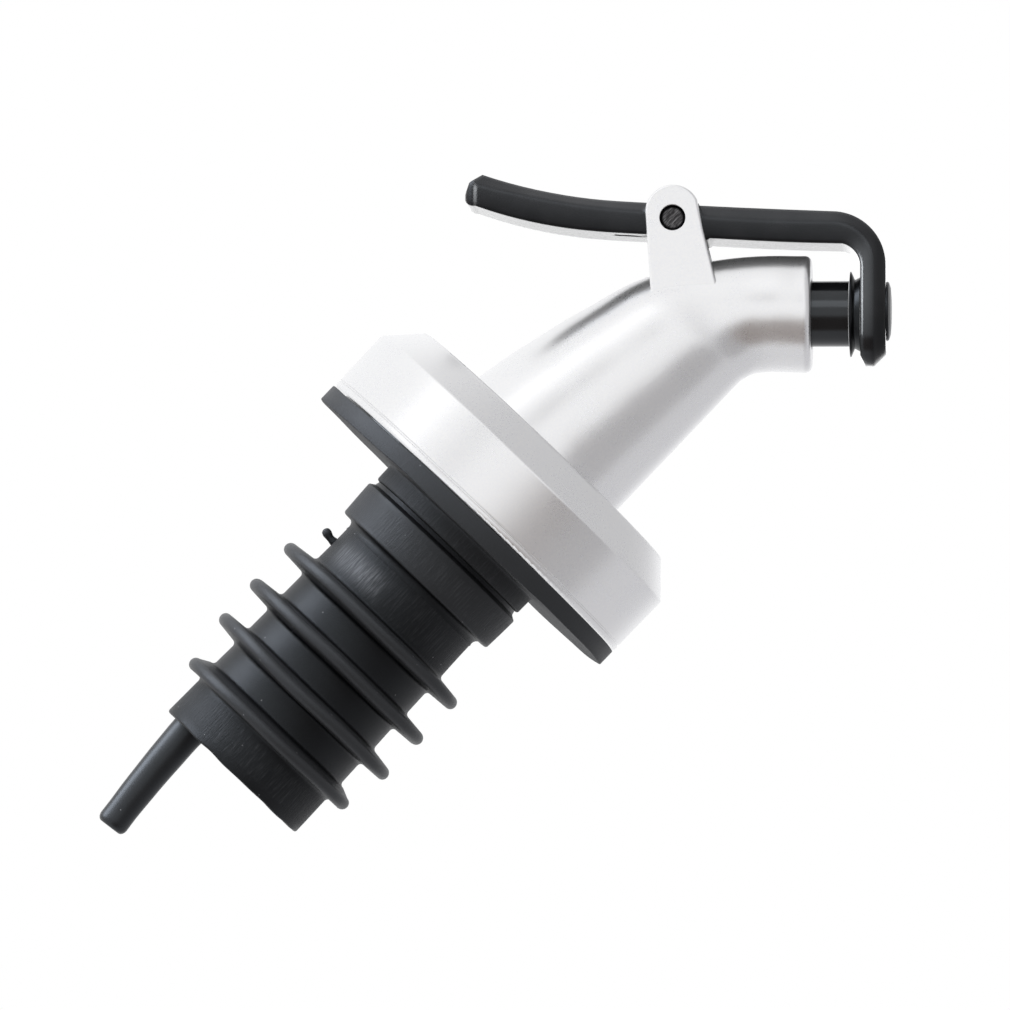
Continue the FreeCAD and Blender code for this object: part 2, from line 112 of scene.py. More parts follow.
# Rubber pieces, in millimetres, with heights from the seat under the disc
# The bore is narrow where it grips the core's barrel, and wider in the skirt below it
GRIP_BORE_R, SKIRT_BORE_R = 7.12, 8.1
GRIP_END, SKIRT_FROM = -18.5, -21.5
SLEEVE_TOP, SLEEVE_END = -2.12, -33.85
# The sleeve's wall below its bead, and how much wider it is at the sleeve's end
WALL_TOP_R, WALL_GAIN = 8.62, 0.33
WALL_TOP = -7.8
# Each rib's height, tip radius and droop of the tip
RIBS = [(-28.1, 10.95, 0.3), (-23.15, 11.93, 0.0), (-18.3, 11.93, 0.0), (-13.25, 11.93, 0.0)]
DISC_R, DISC_TOP = 19.6, 1.88
# Middle line of the vent tube in (x, z)
VENT_PATH = [(-4.15, 1.2), (-4.15, -9.0), (-4.34, -18.5), (-5.35, -26.0), (-6.08, -32.5),
             (-5.98, -37.0), (-5.62, -42.0), (-5.2, -46.0)]


def wall_radius(z):
    """The sleeve widens very slightly from under its bead to its end."""
    return WALL_TOP_R + WALL_GAIN * (WALL_TOP - z) / (WALL_TOP - SLEEVE_END)


# ---------------------------------------------------------------- materials

class Nodes:
    """Short-hand for building one material's node tree."""

    def __init__(self, name):
        self.material = bpy.data.materials.new(name)
        self.material.use_nodes = True
        self.tree = self.material.node_tree
        self.tree.nodes.clear()
        output = self.tree.nodes.new("ShaderNodeOutputMaterial")
        self.surface = self.add("ShaderNodeBsdfPrincipled")
        self.tree.links.new(self.surface.outputs[0], output.inputs[0])
        self.place = self.add("ShaderNodeTexCoord").outputs["Object"]

    def add(self, kind, **settings):
        """New node of this kind, with its settings."""
        node = self.tree.nodes.new(kind)
        for key, value in settings.items():
            setattr(node, key, value)
        return node

    def set(self, node, **inputs):
        """Inputs by name, or by number as i0, i1; each takes a value or another node's socket."""
        for key, value in inputs.items():
            name = key.replace("_", " ")
            socket = node.inputs[int(key[1:])] if key[1:].isdigit() else node.inputs[name]
            if isinstance(value, bpy.types.NodeSocket):
                self.tree.links.new(value, socket)
            else:
                socket.default_value = value
        return node

    def look(self, **inputs):
        """Inputs of the surface itself."""
        self.set(self.surface, **inputs)

    def math(self, operation, a, b, clamp=False):
        node = self.add("ShaderNodeMath", operation=operation, use_clamp=clamp)
        return self.set(node, i0=a, i1=b).outputs[0]

    def noise(self, size_mm, detail=2.0, rough=0.5, vector=None):
        node = self.add("ShaderNodeTexNoise")
        self.set(node, Vector=vector or self.place, Scale=1 / (size_mm * MM), Detail=detail,
                 Roughness=rough)
        return node.outputs[0]

    def specks(self, spacing_mm, share):
        """Small round spots, in a share of the cells of a Voronoi pattern."""
        spot = 0.09
        cell = self.add("ShaderNodeTexVoronoi")
        self.set(cell, Vector=self.place, Scale=1 / (spacing_mm * MM))
        near = self.math("LESS_THAN", cell.outputs["Distance"], spot)
        pick = self.add("ShaderNodeSeparateColor")
        self.set(pick, i0=cell.outputs["Color"])
        chosen = self.math("LESS_THAN", pick.outputs[0], share)
        return self.math("MULTIPLY", near, chosen)

    def ramp(self, value, low, high, out_low=0.0, out_high=1.0):
        """Smooth step from one output to the other while the value goes from low to high."""
        node = self.add("ShaderNodeMapRange", interpolation_type="SMOOTHSTEP")
        return self.set(node, i0=value, i1=low, i2=high, i3=out_low, i4=out_high).outputs[0]

    def mix(self, share, a, b):
        node = self.add("ShaderNodeMix", data_type="RGBA")
        return self.set(node, i0=share, i6=a, i7=b).outputs[2]

    def bump(self, height, distance_mm, strength=1.0, normal=None):
        node = self.add("ShaderNodeBump")
        self.set(node, Height=height, Distance=distance_mm * MM, Strength=strength)
        if normal is not None:
            self.set(node, Normal=normal)
        return node.outputs[0]

    def soft_edges(self, radius_mm):
        """Normal that looks rounded over at the edges."""
        node = self.add("ShaderNodeBevel", samples=8)
        return self.set(node, Radius=radius_mm * MM).outputs[0]

    def around(self, stretch):
        """Coordinates that run round the Z axis and are stretched along it, for drag lines."""
        radius = 9 * MM
        split = self.set(self.add("ShaderNodeSeparateXYZ"), i0=self.place)
        angle = self.math("ARCTAN2", split.outputs[1], split.outputs[0])
        along = self.math("MULTIPLY", split.outputs[2], 1 / stretch)
        arc_length = self.math("MULTIPLY", angle, radius)
        return self.set(self.add("ShaderNodeCombineXYZ"), i0=arc_length, i1=along).outputs[0]

    def height_band(self, low_mm, high_mm):
        """1 between two heights, fading out over a short way at each end."""
        fade_mm = 0.8
        split = self.set(self.add("ShaderNodeSeparateXYZ"), i0=self.place)
        z = split.outputs[2]
        rise = self.ramp(z, (low_mm - fade_mm) * MM, (low_mm + fade_mm) * MM)
        fall = self.ramp(z, (high_mm - fade_mm) * MM, (high_mm + fade_mm) * MM, 1.0, 0.0)
        return self.math("MULTIPLY", rise, fall)


# Reflections on black pieces are a little bluer than the light
RUBBER_TINT = (0.87, 0.935, 1.0, 1)
PLASTIC_TINT = (0.91, 0.955, 1.0, 1)


def silver(name):
    """Satin silver coat on plastic: metal flake, faint mottling and a few dirt specks."""
    m = Nodes(name)
    flake = m.noise(0.22, 2.0, 0.6)
    cloud = m.noise(7.0, 3.0, 0.55)
    tint = m.mix(m.ramp(cloud, 0.35, 0.7), (0.845, 0.845, 0.860, 1), (0.875, 0.875, 0.882, 1))
    grain = m.mix(m.ramp(flake, 0.3, 0.7), tint, (0.90, 0.895, 0.89, 1))
    dirt = m.specks(2.6, 0.010)
    m.look(Base_Color=m.mix(dirt, grain, (0.45, 0.42, 0.40, 1)), Metallic=0.82)
    rough = m.math("ADD", m.math("MULTIPLY", flake, 0.10), m.math("MULTIPLY", cloud, 0.08))
    m.look(Roughness=m.math("ADD", rough, 0.20))
    m.look(Normal=m.bump(flake, 0.004, 0.5, m.soft_edges(0.16)))
    m.look(Coat_Weight=0.25, Coat_Roughness=0.25)
    return m.material


def wear_and_painted_highlight(m, drag, lines_here, patch):
    """Share of pale colour: scuffing on drag lines and on all that stands out from the wall, and
    one patch of painted highlight where the key light's reflection falls.
    """
    rub_from, rub_full = 9.2 * MM, 10.2 * MM
    scuff = m.math("MULTIPLY", m.ramp(lines_here, 0.45, 0.75), 0.034)
    flat = m.set(m.add("ShaderNodeVectorMath", operation="MULTIPLY"), i0=m.place, i1=(1, 1, 0))
    out = m.set(m.add("ShaderNodeVectorMath", operation="LENGTH"), i0=flat.outputs[0])
    rubbed = m.ramp(out.outputs["Value"], rub_from, rub_full, 0.0, 0.035)
    wear_and_highlight = m.math("ADD", scuff, rubbed)
    # The patch adds a pale, streaky painted highlight on the side where the key light's reflection
    # falls
    if patch:
        low, high, way = patch
        facing = m.add("ShaderNodeVectorMath", operation="DOT_PRODUCT")
        m.set(facing, i0=flat.outputs[0], i1=Vector(way) / (wall_radius(high) * MM))
        here = m.math("MULTIPLY", m.ramp(facing.outputs["Value"], 0.84, 0.98),
                      m.height_band(low, high))
        streaky_highlight = m.ramp(drag, 0.35, 0.65, 0.03, 0.14)
        wear_and_highlight = m.math("ADD", wear_and_highlight, m.math("MULTIPLY", here, streaky_highlight))
    return wear_and_highlight


def rubber(name, base=0.0040, rough=0.42, sheen=0.27, lines=True, streaks=(), patch=None):
    """Black rubber: fine pore and a little dust, and with lines also drag lines and scuffs.

    Each streak is a band of heights with strong lines. The patch is a painted highlight, given as
    a band of heights and the direction that it faces.
    """
    m = Nodes(name)
    pore = m.noise(0.16, 3.0, 0.6)
    cloud = m.noise(5.0, 3.0, 0.5)
    dark = (base * 0.75, base * 0.76, base * 0.84, 1)
    pale = (base * 1.4, base * 1.43, base * 1.6, 1)
    colour = m.mix(m.ramp(cloud, 0.3, 0.7), dark, pale)
    dust = m.math("MULTIPLY", m.specks(0.9, 0.14), m.ramp(m.noise(6.0), 0.35, 0.65, 0.1, 0.5))
    colour = m.mix(dust, colour, (0.42, 0.42, 0.43, 1))
    height = m.math("MULTIPLY", pore, 0.34 if lines else 0.06)
    shine = m.math("ADD", m.math("MULTIPLY", cloud, 0.12), rough - 0.06)
    if lines:
        drag = m.noise(0.20, 3.0, 0.7, m.around(14.0))
        strength = 0.18
        for low, high in streaks:
            strength = m.math("ADD", m.height_band(low, high), strength, clamp=True)
        lines_here = m.math("MULTIPLY", drag, strength)
        height = m.math("ADD", height, lines_here)
        shine = m.math("ADD", shine, m.math("MULTIPLY", lines_here, 0.25))
        wear_and_highlight = wear_and_painted_highlight(m, drag, lines_here, patch)
        # Pale colour for wear, and for the painted highlight where there is a patch
        colour = m.mix(wear_and_highlight, colour, (0.6, 0.61, 0.64, 1))
    m.look(Base_Color=colour, Roughness=shine, Specular_IOR_Level=sheen,
           Specular_Tint=RUBBER_TINT, Normal=m.bump(height, 0.09, 0.7))
    m.material["tone"] = "black"
    return m.material


def painted_lever_sheen(m):
    """Painted sheen and shade in the reflection strength: stronger along the top of the arm and
    the inside of the hook, weaker on the lower side and towards the hook's outer face and foot.
    """
    from_pivot = m.set(m.add("ShaderNodeVectorMath", operation="SUBTRACT"), i0=m.place, i1=PIVOT)
    places = []
    for direction in (U / MM, W / MM):
        dot = m.add("ShaderNodeVectorMath", operation="DOT_PRODUCT")
        m.set(dot, i0=from_pivot.outputs[0], i1=direction)
        places.append(dot.outputs["Value"])
    u, w = places
    # Height above the arm's middle line, which curves up to the tail and slopes down to the hook
    tail_from, tail_curve, slope_from, slope = 4.0, 0.0057, 2.0, 0.05
    tail = m.math("MAXIMUM", m.math("SUBTRACT", tail_from, u), 0.0)
    rise = m.math("MULTIPLY", m.math("MULTIPLY", tail, tail), tail_curve)
    along = m.math("MAXIMUM", m.math("SUBTRACT", u, slope_from), 0.0)
    above = m.math("ADD", m.math("SUBTRACT", w, rise), m.math("MULTIPLY", along, slope))
    arm = m.ramp(above, -2.2, 1.0, 0.06, 0.38)
    hook = m.ramp(u, 19.4, 20.9, 1.0, 0.20)
    hook = m.math("MULTIPLY", hook, m.ramp(w, -13.0, -7.0, 0.45, 1.0))
    share = m.math("MULTIPLY", m.ramp(u, 17.0, 19.0), m.ramp(w, -1.0, -4.0))
    blend = m.add("ShaderNodeMix", data_type="FLOAT")
    return m.set(blend, i0=share, i2=arm, i3=hook).outputs[0]


def gloss_black(name):
    """Glossy moulded plastic, slightly wavy, with soft edges and a few specks."""
    m = Nodes(name)
    wave = m.noise(3.2, 2.0, 0.5)
    fine = m.noise(0.30, 3.0, 0.6)
    colour = m.mix(m.ramp(wave, 0.3, 0.7), (0.006, 0.006, 0.0066, 1), (0.010, 0.0098, 0.0106, 1))
    dust = m.specks(1.7, 0.07)
    m.look(Base_Color=m.mix(m.math("MULTIPLY", dust, 0.4), colour, (0.4, 0.4, 0.41, 1)))
    # The reflection strength carries a painted sheen and shade across the lever
    m.look(Roughness=m.ramp(fine, 0.25, 0.75, 0.20, 0.26), Specular_IOR_Level=painted_lever_sheen(m))
    height = m.math("ADD", wave, m.math("MULTIPLY", fine, 0.03))
    m.look(Normal=m.bump(height, 0.04, 0.6, m.soft_edges(0.7)))
    m.look(Coat_Weight=0.1, Coat_Roughness=0.10, Specular_Tint=PLASTIC_TINT)
    m.material["tone"] = "black"
    return m.material


def satin_black(name):
    """Plain black moulded plastic for the core and the flow tube."""
    m = Nodes(name)
    fine = m.noise(0.25, 3.0, 0.6)
    cloud = m.noise(4.0, 2.0, 0.5)
    m.look(Base_Color=m.mix(cloud, (0.004, 0.004, 0.0043, 1), (0.008, 0.008, 0.0086, 1)))
    m.look(Roughness=m.ramp(cloud, 0.2, 0.8, 0.12, 0.18))
    m.look(Normal=m.bump(fine, 0.008, 0.5, m.soft_edges(0.12)), Specular_Tint=PLASTIC_TINT)
    m.material["tone"] = "black"
    return m.material


def dark_steel(name):
    """Blackened pin end with slanting scratches, and a painted black ring of shade round its edge,
    where the gap round the pin lies in shadow.
    """
    m = Nodes(name)
    gap_shade_from, gap_shade_full = 0.85 * MM, 1.15 * MM
    scratch = m.add("ShaderNodeMapping")
    scratch.inputs["Rotation"].default_value = (0.0, math.radians(38), 0.0)
    scratch.inputs["Scale"].default_value = (1.0, 1.0, 0.12)
    m.set(scratch, Vector=m.place)
    lines = m.noise(0.11, 3.0, 0.7, scratch.outputs[0])
    face = m.mix(m.ramp(lines, 0.40, 0.75), (0.03, 0.029, 0.03, 1), (0.26, 0.255, 0.26, 1))
    flat = m.set(m.add("ShaderNodeVectorMath", operation="MULTIPLY"), i0=m.place, i1=(1, 0, 1))
    from_axis = m.add("ShaderNodeVectorMath", operation="DISTANCE")
    m.set(from_axis, i0=flat.outputs[0], i1=(PIVOT.x, 0, PIVOT.z))
    # Painted shade: the outer ring of the pin end goes near black, for the shadowed gap round the
    # pin
    painted_gap_shade = m.ramp(from_axis.outputs["Value"], gap_shade_from, gap_shade_full)
    m.look(Base_Color=m.mix(painted_gap_shade, face, (0.006, 0.006, 0.007, 1)))
    m.look(Metallic=0.9, Roughness=m.ramp(lines, 0.3, 0.7, 0.28, 0.5))
    m.look(Normal=m.bump(lines, 0.08, 0.8, m.soft_edges(0.1)))
    return m.material


def spring_wire(name):
    """Bright drawn wire."""
    m = Nodes(name)
    fine = m.noise(0.12, 3.0, 0.6)
    m.look(Base_Color=m.mix(fine, (0.34, 0.34, 0.35, 1), (0.52, 0.51, 0.5, 1)), Metallic=1.0)
    m.look(Roughness=m.ramp(fine, 0.2, 0.8, 0.22, 0.38), Normal=m.bump(fine, 0.01, 0.5))
    return m.material


finishes = {
    "silver_plastic": silver("silver_coat"),
    "black_plastic": satin_black("core_plastic"),
    "lever_plastic": gloss_black("lever_gloss"),
    # Its patch is a painted highlight under the bead, where the key light's reflection falls
    "stopper_rubber": rubber("stopper_rubber", streaks=((-33, -29.6), (-6.4, -3.4), (-12, -7.5)),
                             patch=(-11.2, -9.0, (-0.50, -0.866, 0))),
    "disc_rubber": rubber("disc_rubber", base=0.0032, rough=0.50, streaks=((-2.2, 0.1),)),
    "tube_rubber": rubber("tube_rubber", base=0.005, rough=0.38, sheen=0.52, lines=False),
    "seal_rubber": rubber("seal_rubber", rough=0.30, lines=False),
    "dark_steel": dark_steel("pin_steel"),
    "spring_steel": spring_wire("spring_wire"),
}
for part in frame["record"]["subparts"]:
    data = frame["nodes"][part["node"]].data
    data.materials.clear()
    data.materials.append(finishes[part["material_slot"]])


# ---------------------------------------------------------------- mesh building

def mesh_object(name, verts, faces, material, body, smooth_deg=35):
    """New piece with its finish, smooth up to an angle; it rides on the body, if there is one."""
    data = bpy.data.meshes.new(name)
    data.from_pydata([tuple(v) for v in verts], [], faces)
    data.validate()
    data.polygons.foreach_set("use_smooth", [True] * len(data.polygons))
    obj = bpy.data.objects.new(name, data)
    bpy.context.scene.collection.objects.link(obj)
    data.set_sharp_from_angle(angle=math.radians(smooth_deg))
    data.materials.append(material)
    if body:
        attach(obj, body)
    return obj


def arc(centre, radius, start_deg, end_deg, steps):
    """Points on an arc in (radius, height), in millimetres."""
    out = []
    for step in range(steps + 1):
        angle = math.radians(start_deg + (end_deg - start_deg) * step / steps)
        out.append((centre[0] + radius * math.cos(angle), centre[1] + radius * math.sin(angle)))
    return out


def spaced(profile, longest, closed=True):
    """The outline with extra points, so that no step is longer than this."""
    out = []
    after = profile[1:] + profile[:1] if closed else profile[1:]
    for here, there in zip(profile, after):
        length = math.dist(here, there)
        steps = max(1, math.ceil(length / longest))
        for step in range(steps):
            share = step / steps
            out.append(tuple(a + (b - a) * share for a, b in zip(here, there)))
    return out if closed else out + [profile[-1]]


def lathe(profile, segments, shape=None, place=Matrix.Identity(4), capped=False):
    """Turned skin from an outline in (radius, height) mm; shape(r, z, angle) bends it."""
    verts = []
    for r, z in profile:
        for k in range(segments):
            angle = 2 * math.pi * k / segments
            rr, zz = shape(r, z, angle) if shape else (r, z)
            point = Vector((rr * math.cos(angle), rr * math.sin(angle), zz)) * MM
            verts.append(place @ point)
    rings = [range(i * segments, (i + 1) * segments) for i in range(len(profile))]
    faces = bands(rings, closed=not capped)
    if capped:
        faces += [tuple(reversed(rings[0])), tuple(rings[-1])]
    return verts, faces


def bands(rings, closed=False):
    """Quads between one ring of vertex numbers and the next."""
    faces = []
    pairs = list(zip(rings, rings[1:]))
    if closed:
        pairs.append((rings[-1], rings[0]))
    for lower, upper in pairs:
        count = len(lower)
        for k in range(count):
            n = (k + 1) % count
            faces.append((lower[k], lower[n], upper[n], upper[k]))
    return faces


def frames_along(path):
    """For each point of the path: itself, two directions square to the path, the way ahead."""
    out = []
    side = Vector((0, 1, 0))
    for i, point in enumerate(path):
        ahead = (path[min(i + 1, len(path) - 1)] - path[max(i - 1, 0)]).normalized()
        side = (side - ahead * side.dot(ahead)).normalized()
        out.append((point, side, ahead.cross(side), ahead))
    return out


def ring_at(frame_here, radius, segments, forward=0.0):
    """Circle of points square to the path, moved forward along it."""
    point, side, other, ahead = frame_here
    verts = []
    for k in range(segments):
        angle = 2 * math.pi * k / segments
        ray = side * math.cos(angle) + other * math.sin(angle)
        verts.append(point + ahead * forward + ray * radius)
    return verts


def smooth_path(points, per_span):
    """Catmull-Rom curve through the points."""
    out = []
    for i in range(len(points) - 1):
        p0, p1 = points[max(i - 1, 0)], points[i]
        p2, p3 = points[i + 1], points[min(i + 2, len(points) - 1)]
        for step in range(per_span):
            t = step / per_span
            out.append(0.5 * ((2 * p1) + (p2 - p0) * t + (2 * p0 - 5 * p1 + 4 * p2 - p3) * t ** 2
                              + (3 * p1 - p0 - 3 * p2 + p3) * t ** 3))
    out.append(points[-1].copy())
    return out


def waver(angle, height, size, seed):
    """Slow uneven movement round a ring, in millimetres."""
    place = Vector((math.cos(angle), math.sin(angle), height * 0.12 + seed))
    return size * noise.noise(place * 1.3)


# ---------------------------------------------------------------- rubber pieces

def rib_profile(z, tip_r, droop, wall_r):
    """Outline of one rib, from its lower root to its upper root."""
    root, tip, fillet = 0.9, 0.7, 0.45
    lower = arc((wall_r + fillet, z - root - fillet), fillet, 180, 90, 5)
    round_tip = arc((tip_r - tip, z - droop), tip, -82, 82, 12)
    upper = arc((wall_r + fillet, z + root + fillet), fillet, 270, 180, 5)
    return lower + round_tip + upper


def sleeve_profile():
    """Outline of the sleeve: its end, ribs, bead and top outside, then back down the bore."""
    lip = 0.22
    out = [(SKIRT_BORE_R, SLEEVE_END)]
    out += arc((wall_radius(SLEEVE_END) - lip, SLEEVE_END + lip), lip, -90, 0, 4)
    for z, tip_r, droop in RIBS:
        out += rib_profile(z, tip_r, droop, wall_radius(z))
    out += [(wall_radius(-10), -10), (WALL_TOP_R, -7.9)]
    out += arc((9.3, -7.5), 0.68, 205, 100, 5)
    out += arc((9.72, -6.55), 0.3, -85, 5, 5)
    out += [(10.1, -4.6)] + arc((9.9, -3.05), 0.26, -10, 80, 5)
    out += [(9.6, -2.55), (9.5, SLEEVE_TOP), (GRIP_BORE_R, SLEEVE_TOP)]
    out += [(GRIP_BORE_R, GRIP_END), (SKIRT_BORE_R, SKIRT_FROM)]
    return spaced(out, 0.8)


def sleeve_shape(r, z, angle):
    """Ribs that lean and swell a little, and an unevenly cut end."""
    half_rib, root_r, rib_length, end_zone = 1.5, 8.7, 3.2, -33.4
    for number, (rib_z, _, _) in enumerate(RIBS):
        if abs(z - rib_z) < half_rib and r > root_r:
            reach = (r - root_r) / rib_length
            z += reach * waver(angle, rib_z, 0.28, 3.1 * number)
            r += reach * waver(angle, rib_z, 0.22, 7.7 * number)
    if z < end_zone:
        z += waver(angle * 2, 0, 0.22, 40)
    return r + waver(angle, z, 0.07, 20), z


def nub_mesh():
    """Cut-off moulding gate: a bent peg on the sleeve's side away from the nozzle."""
    segments, base_r, swell, flatten = 20, 0.44, 0.05, 0.8
    path = smooth_path([Vector((-8.3, 0, -9.7)), Vector((-9.2, 0, -9.68)),
                        Vector((-10.0, 0, -9.5))], 5)
    frames = frames_along([p * MM for p in path])
    verts, rings = [], []
    radii = [base_r + swell * math.sin(i * 0.9) for i in range(len(frames))]
    for spot, radius in zip(frames, radii):
        rings.append(range(len(verts), len(verts) + segments))
        verts += ring_at(spot, radius * MM, segments)
    for tilt in range(15, 90, 15):
        rise, shrink = math.sin(math.radians(tilt)), math.cos(math.radians(tilt))
        rings.append(range(len(verts), len(verts) + segments))
        forward = radii[-1] * flatten * rise
        verts += ring_at(frames[-1], radii[-1] * shrink * MM, segments, forward * MM)
    faces = bands(rings)
    faces.append(tuple(rings[-1]))
    faces.append(tuple(reversed(rings[0])))
    return verts, faces


def stopper():
    """Sleeve with its moulding nub, in one mesh."""
    verts, faces = lathe(sleeve_profile(), 144, sleeve_shape)
    more, nub_faces = nub_mesh()
    start = len(verts)
    faces += [tuple(start + v for v in face) for face in nub_faces]
    skin = mesh_object("sleeve_skin", verts + more, faces, finishes["stopper_rubber"],
                       "spout", 40)
    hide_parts("stopper_sleeve")


def vent():
    """Hollow soft tube with a rounded end, leaning over to the sleeve's wall."""
    spine = smooth_path([Vector((x, 0, z)) * MM for x, z in VENT_PATH], 9)
    frames = frames_along(spine)
    segments = 36
    inner, mouth, dome, unevenness = 1.0, 0.5, 0.75, 0.03
    root_r, taper, taper_from, taper_length = 1.85, 0.22, -34.0, 10.0
    verts, rings = [], []

    def add(spot, radius, forward=0.0):
        rings.append(range(len(verts), len(verts) + segments))
        verts.extend(ring_at(spot, radius * MM, segments, forward * MM))

    for i, spot in enumerate(frames[:-2]):
        below = min(1.0, max(0.0, (taper_from - spot[0].z / MM) / taper_length))
        outer = root_r - taper * below
        add(spot, outer * (1 + unevenness * noise.noise(Vector((i * 0.13, 5.0, 0)))))
    lip = (outer - mouth) / 2
    end = frames[-2]
    for tilt in range(0, 181, 20):
        angle = math.radians(tilt)
        add(end, (outer + mouth) / 2 + lip * math.cos(angle), dome * math.sin(angle))
    for spot in reversed(frames[:-2]):
        add(spot, inner)
    skin = mesh_object("vent_skin", verts, bands(rings, closed=True), finishes["tube_rubber"],
                       "spout", 50)
    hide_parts("vent_tube")


def disc():
    """Thin black disc that has taken a slight wave, with its short hub below."""
    hub_end, edge, inner_top, flat_r = -2.08, 0.12, 1.38, 12.0
    out = [(GRIP_BORE_R, hub_end), (9.5, hub_end)] + arc((9.62, -1.82), 0.26, -90, 0, 4)
    out += [(9.9, -0.5)] + arc((10.2, -0.3), 0.3, 180, 90, 4)
    out += arc((DISC_R - edge, edge), edge, -90, 0, 4)
    out += arc((DISC_R - edge, DISC_TOP - edge), edge, 0, 90, 4)
    out += [(18.3, DISC_TOP - 0.02), (17.9, inner_top), (GRIP_BORE_R, inner_top)]

    def wave(r, z, angle):
        reach = max(0.0, (r - flat_r) / (DISC_R - flat_r))
        lean = 0.04 * reach * (math.cos(angle) - 1)
        z += lean + reach * (waver(angle * 2, 0, 0.16, 9) - 0.05)
        return r + reach * waver(angle, 0, 0.15, 11), min(z, DISC_TOP - 0.01)

    verts, faces = lathe(spaced(out, 0.9), 192, wave)
    skin = mesh_object("disc_skin", verts, faces, finishes["disc_rubber"], "spout",
                       40)
    # Its reflection in the collar's facets would show as a jagged dark edge
    skin.visible_glossy = False
    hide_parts("lip_gasket")


def foot_gasket():
    """Flat ring under the shell's foot, with a rounded outer edge."""
    low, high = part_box("base_gasket")
    bottom, top, outer = low.z / MM, high.z / MM, high.x / MM
    bore = 9.0
    mid, half = (bottom + top) / 2, (top - bottom) / 2
    profile = [(bore, bottom), (outer - half, bottom)]
    profile += arc((outer - half, mid), half, -80, 80, 6) + [(outer - half, top), (bore, top)]
    verts, faces = lathe(spaced(profile, 1.5), 96)
    skin = mesh_object("foot_gasket_skin", verts, faces, finishes["tube_rubber"],
                       "spout")
    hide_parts("base_gasket")


def seal():
    """Seal pulled through the lever's hook: a thin lip facing the tube, a button outside."""
    hook_in, hook_out, stem = 19.0, 21.55, 1.5
    lip_w, button_w = -9.3, -9.0
    lip = [(0.3, 17.87), (4.0, 17.87)] + arc((4.28, 17.97), 0.08, -100, 50, 6)
    lip += [(3.56, 18.36), (3.54, 18.44), (3.74, 18.8)] + arc((3.72, 18.9), 0.07, 10, 80, 3)
    lip += [(stem, hook_in - 0.03), (stem, hook_out)]
    button = [(0.3, hook_out + 0.01), (2.86, hook_out + 0.01)]
    button += arc((2.9, hook_out + 0.13), 0.13, -80, 10, 4)
    button += [(2.95, 21.85), (2.4, 22.03), (1.6, 22.09), (0.3, 22.12)]

    def uneven(r, z, angle):
        return r * (1 + waver(angle, z, 0.012, 2)), z + waver(angle, z, 0.05 * r / 4, 6)

    turn = Matrix((W, Vector((0, -1, 0)), U)).transposed().to_4x4()
    verts, faces = [], []
    for profile, w in ((lip, lip_w), (button, button_w)):
        place = Matrix.Translation(PIVOT + W * (w * MM)) @ turn
        more, its_faces = lathe(spaced(profile, 0.6, closed=False), 96, uneven, place, capped=True)
        faces += [tuple(len(verts) + v for v in face) for face in its_faces]
        verts += more
    skin = mesh_object("seal_skin", verts, faces, finishes["seal_rubber"],
                       "thumb_lever", 40)
    # Its reflection in the glossy hook would show as a dark lens beside the button
    skin.visible_glossy = False
    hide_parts("plug_seal")


# ---------------------------------------------------------------- spring

def spring():
    """Torsion spring, one fixed wire that does not follow the lever: its near leg reaches to the
    lever, its far leg stays with the shell.
    """
    radius, pitch, turns, wire = 1.75, 0.56, 4.77, 0.25
    steps_per_turn, near_steps, far_steps, far_length, segments = 28, 8, 7, 3.9, 14
    half = pitch * turns / 2
    tip = Vector((-5.55, -0.75, half))
    leaves = math.atan2(tip.y, tip.x) + math.acos(radius / math.hypot(tip.x, tip.y))
    coil = []
    steps = round(turns * steps_per_turn)
    for step in range(steps + 1):
        share = step / steps
        angle = leaves + 2 * math.pi * turns * share
        coil.append(Vector((radius * math.cos(angle), radius * math.sin(angle),
                            half - 2 * half * share)))
    ends = leaves + 2 * math.pi * turns
    down = Vector((-math.sin(ends), math.cos(ends), 0))
    near = [tip.lerp(coil[0], step / near_steps) for step in range(near_steps)]
    far = [coil[-1] + down * (far_length * step / far_steps) for step in range(1, far_steps + 1)]
    path = [PIVOT + (U * p.x + W * p.y + Vector((0, -p.z, 0))) * MM
            for p in near + coil + far]
    frames = frames_along(path)
    verts, rings = [], []
    for spot in frames:
        rings.append(range(len(verts), len(verts) + segments))
        verts += ring_at(spot, wire * MM, segments)
    faces = bands(rings)
    faces.append(tuple(reversed(rings[0])))
    faces.append(tuple(rings[-1]))
    skin = mesh_object("spring_wire", verts, faces, finishes["spring_steel"],
                       None, 60)
    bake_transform(skin)
    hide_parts("return_spring")


stopper()
vent()
disc()
foot_gasket()
seal()
spring()


# ---------------------------------------------------------------- world, floor, lights, camera

def seen_from_camera(right, up, back):
    """Direction given along the camera's own axes."""
    return (VIEW_RIGHT * right + VIEW_UP * up + VIEW_BACK * back).normalized()


